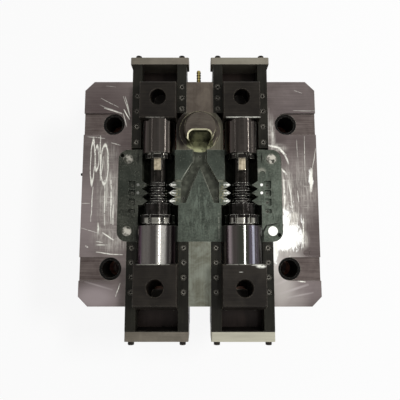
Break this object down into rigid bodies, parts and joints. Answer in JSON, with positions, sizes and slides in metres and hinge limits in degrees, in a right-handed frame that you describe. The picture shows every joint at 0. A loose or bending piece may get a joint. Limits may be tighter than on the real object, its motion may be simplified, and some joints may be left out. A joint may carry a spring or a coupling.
{
  "type": "mould base",
  "caption": "Moving half of a die-casting mould: holder block, cavity insert, core slides in gibs, and an ejector package on a clamping plate.",
  "frame": {"origin": "centre of the base plate's back face", "axes": "+Z out of the parting face, +Y towards the rear slides and the hose nipple, +X to the right seen from the parting face with +Y up"},
  "size_m": [0.56, 0.622, 0.306],
  "materials": {
    "ground_block": "ground with random grinder marks, light oil stain",
    "insert_steel": "heat-stained dark grey-green",
    "spreader_steel": "worn, olive reflections",
    "brass": "turned",
    "key_steel": "milled",
    "black_screws": "black oxide",
    "bright_core": "cylindrically ground",
    "dark_core": "cylindrically ground, darkened",
    "blackened_steel": "black oxide, oily",
    "block_steel": "dark, ground edges",
    "end_plate_steel": "milled",
    "wear_steel": "ground",
    "hardened_steel": "ground",
    "plate_steel": "milled"
  },
  "bodies": {
    "mould": {"holder_block": "ground_block", "cavity_insert": "insert_steel", "insert_screws": "black_screws", "spreader": "spreader_steel", "hose_nipple": "brass", "base_plate": "plate_steel", "base_screws": "black_screws", "support_pillars": "hardened_steel", "ejector_guide_pins": "hardened_steel", "stop_buttons": "hardened_steel", "gib_screws": "black_screws", "bracket_screws": "black_screws", "end_plate_screws": "black_screws", "wear_screws": "black_screws", "spacer_left": "plate_steel", "spacer_right": "plate_steel", "guide_bush_rear_left": "hardened_steel", "gib_rear_left_inner": "blackened_steel", "gib_rear_left_outer": "blackened_steel", "wear_plate_rear_left": "wear_steel", "bracket_rear_left": "blackened_steel", "end_plate_rear_left": "end_plate_steel", "guide_bush_rear_right": "hardened_steel", "gib_rear_right_inner": "blackened_steel", "gib_rear_right_outer": "blackened_steel", "wear_plate_rear_right": "wear_steel", "bracket_rear_right": "blackened_steel", "end_plate_rear_right": "end_plate_steel", "guide_bush_front_left": "hardened_steel", "gib_front_left_inner": "blackened_steel", "gib_front_left_outer": "blackened_steel", "wear_plate_front_left": "wear_steel", "bracket_front_left": "blackened_steel", "end_plate_front_left": "end_plate_steel", "guide_bush_front_right": "hardened_steel", "gib_front_right_inner": "blackened_steel", "gib_front_right_outer": "blackened_steel", "wear_plate_front_right": "wear_steel", "bracket_front_right": "blackened_steel", "end_plate_front_right": "end_plate_steel"},
    "slide_rear_left": {"slide_block_rear_left": "block_steel", "core_rear_left": "dark_core", "core_screws_rear_left": "black_screws", "core_key_rear_left": "key_steel"},
    "slide_rear_right": {"slide_block_rear_right": "block_steel", "core_rear_right": "dark_core", "core_screws_rear_right": "black_screws", "core_key_rear_right": "key_steel"},
    "slide_front_left": {"slide_block_front_left": "block_steel", "core_front_left": "bright_core", "core_screws_front_left": "black_screws"},
    "slide_front_right": {"slide_block_front_right": "block_steel", "core_front_right": "bright_core", "core_screws_front_right": "black_screws"},
    "ejector": {"ejector_plate": "plate_steel", "retainer_plate": "plate_steel", "return_pins": "hardened_steel", "ejector_pins": "hardened_steel", "ejector_screws": "black_screws", "ejector_guide_bushes": "hardened_steel"}
  },
  "joints": [
    {"name": "slide_rear_left_travel", "type": "slide", "parent": "mould", "child": "slide_rear_left", "axis": [0, 1, 0], "range_m": [0, 0.045]},
    {"name": "slide_rear_right_travel", "type": "slide", "parent": "mould", "child": "slide_rear_right", "axis": [0, 1, 0], "range_m": [0, 0.045]},
    {"name": "slide_front_left_travel", "type": "slide", "parent": "mould", "child": "slide_front_left", "axis": [0, -1, 0], "range_m": [0, 0.042]},
    {"name": "slide_front_right_travel", "type": "slide", "parent": "mould", "child": "slide_front_right", "axis": [0, -1, 0], "range_m": [0, 0.042]},
    {"name": "ejector_stroke", "type": "slide", "parent": "mould", "child": "ejector", "axis": [0, 0, 1], "range_m": [0, 0.036]}
  ]
}
